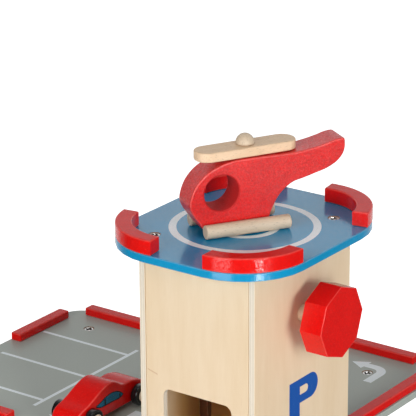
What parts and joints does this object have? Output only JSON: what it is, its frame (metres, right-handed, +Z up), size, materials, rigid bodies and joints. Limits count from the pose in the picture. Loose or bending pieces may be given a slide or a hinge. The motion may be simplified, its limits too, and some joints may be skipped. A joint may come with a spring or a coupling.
{
  "type": "toy parking garage with lift",
  "caption": "Wooden toy parking garage: plywood lift tower with a knob and helicopter pad, railed parking deck, ramp, toy car and helicopter.",
  "frame": {"origin": "on the resting plane, at the underside of the base board, straight below the middle of the helicopter pad", "axes": "+Z up, +X out of the tower face with the winding knob, -Y out of the face with the front gates"},
  "size_m": [0.3515, 0.5274, 0.4093],
  "materials": {
    "red_paint": "glossy lacquer over hardwood",
    "blue_paint": "satin lacquer over plywood, with a printed ring",
    "grey_paint": "matt lacquer over plywood, with printed lines",
    "birch_plywood": "clear satin lacquer, layered edges",
    "beech": "clear satin lacquer",
    "steel_screw": "zinc plated",
    "cotton_cord": "braided cotton",
    "black_paint": "satin lacquer over wood"
  },
  "bodies": {
    "frame": {"pad_bumper_back_right": "red_paint", "pad_bumper_back_left": "red_paint", "pad_bumper_front_left": "red_paint", "pad_bumper_front_right": "red_paint", "rail_left": "red_paint", "rail_row_back": "red_paint", "rail_step": "red_paint", "rail_back": "red_paint", "rail_right": "red_paint", "rail_front": "red_paint", "ramp_rail_left": "red_paint", "ramp_rail_right": "red_paint", "helipad_board": "blue_paint", "base_board": "grey_paint", "deck_board": "grey_paint", "ramp_board": "grey_paint", "tower_front_panel": "birch_plywood", "tower_back_panel": "birch_plywood", "tower_left_panel": "birch_plywood", "tower_right_panel": "birch_plywood", "post_front_left": "beech", "post_back_left": "beech", "post_back_right": "beech", "top_batten_left": "beech", "top_batten_right": "beech", "deck_cleat_left": "beech", "deck_cleat_back": "beech", "ramp_block": "beech", "guide_strip_left": "beech", "guide_strip_right": "beech", "pad_screw_front_left": "steel_screw", "pad_screw_front_right": "steel_screw", "pad_screw_back_left": "steel_screw", "pad_screw_back_right": "steel_screw", "deck_screw_front_left": "steel_screw", "deck_screw_back_left": "steel_screw", "deck_screw_back_right": "steel_screw", "cord_drop": "cotton_cord"},
    "winder": {"winder_shaft": "beech", "winder_knob": "red_paint", "collar_left": "beech", "collar_right": "beech", "cord_winding": "cotton_cord"},
    "lift_cabin": {"cabin_floor": "beech", "cabin_wall_left": "birch_plywood", "cabin_wall_right": "birch_plywood", "cabin_roof": "birch_plywood", "cord_knot": "cotton_cord"},
    "helicopter": {"helicopter_body": "red_paint", "helicopter_skid_left": "beech", "helicopter_skid_right": "beech", "rotor_peg": "beech"},
    "rotor": {"rotor_bar": "beech"},
    "car": {"car_body": "red_paint"},
    "car_front_wheels": {"car_front_axle": "beech", "car_front_wheel_left": "black_paint", "car_front_wheel_right": "black_paint"},
    "car_rear_wheels": {"car_rear_axle": "beech", "car_rear_wheel_left": "black_paint", "car_rear_wheel_right": "black_paint"}
  },
  "joints": [
    {"name": "knob_turn", "type": "hinge", "parent": "frame", "child": "winder", "pos_m": [0, 0, 0.2856], "axis": [1, 0, 0], "range_deg": [0, 1166]},
    {"name": "lift_slide", "type": "slide", "parent": "frame", "child": "lift_cabin", "axis": [0, 0, 1], "range_m": [0, 0.1557], "deforming": ["cord_drop"]},
    {"name": "helicopter_lift_off", "type": "slide", "parent": "frame", "child": "helicopter", "axis": [0, 0, 1], "range_m": [0, 0.12]},
    {"name": "rotor_spin", "type": "hinge", "parent": "helicopter", "child": "rotor", "pos_m": [0, 0, 0.398], "axis": [0, 0, 1], "continuous": true},
    {"name": "car_drive", "type": "slide", "parent": "frame", "child": "car", "axis": [0, -1, 0], "range_m": [-0.095, 0.008]},
    {"name": "car_front_axle_turn", "type": "hinge", "parent": "car", "child": "car_front_wheels", "pos_m": [-0.1211, -0.044, 0.1786], "axis": [1, 0, 0], "range_deg": [-656, 56]},
    {"name": "car_rear_axle_turn", "type": "hinge", "parent": "car", "child": "car_rear_wheels", "pos_m": [-0.1211, 0.0125, 0.1786], "axis": [1, 0, 0], "range_deg": [-656, 56]}
  ],
  "couplings": [
    {"joint": "lift_slide", "follows": "knob_turn", "m_per_rad": 0.00765},
    {"joint": "car_front_axle_turn", "follows": "car_drive", "rad_per_m": 120.5},
    {"joint": "car_rear_axle_turn", "follows": "car_drive", "rad_per_m": 120.5}
  ]
}
